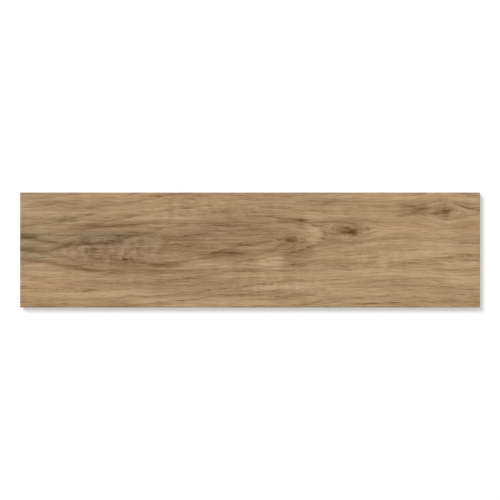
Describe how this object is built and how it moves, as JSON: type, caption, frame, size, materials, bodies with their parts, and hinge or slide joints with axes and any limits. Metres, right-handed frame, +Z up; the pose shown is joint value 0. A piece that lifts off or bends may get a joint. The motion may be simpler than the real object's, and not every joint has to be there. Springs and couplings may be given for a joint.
{
  "type": "wood look porcelain plank tile",
  "caption": "Long rectangular porcelain floor and wall tile with a matte oak-print glazed face, softly rounded pressed edges and a waffle-ribbed back that beds in adhesive.",
  "frame": {"origin": "centre of the back, on the plane of its rim and ribs, which beds in the adhesive", "axes": "+X along the plank's length and its printed grain, +Y across its width, +Z up out of the glazed face"},
  "size_m": [0.6, 0.15, 0.009],
  "materials": {
    "printed_porcelain": "matte glaze printed with oak grain, over a pale porcelain body"
  },
  "bodies": {
    "root": {"plank_tile": "printed_porcelain"}
  },
  "joints": []
}
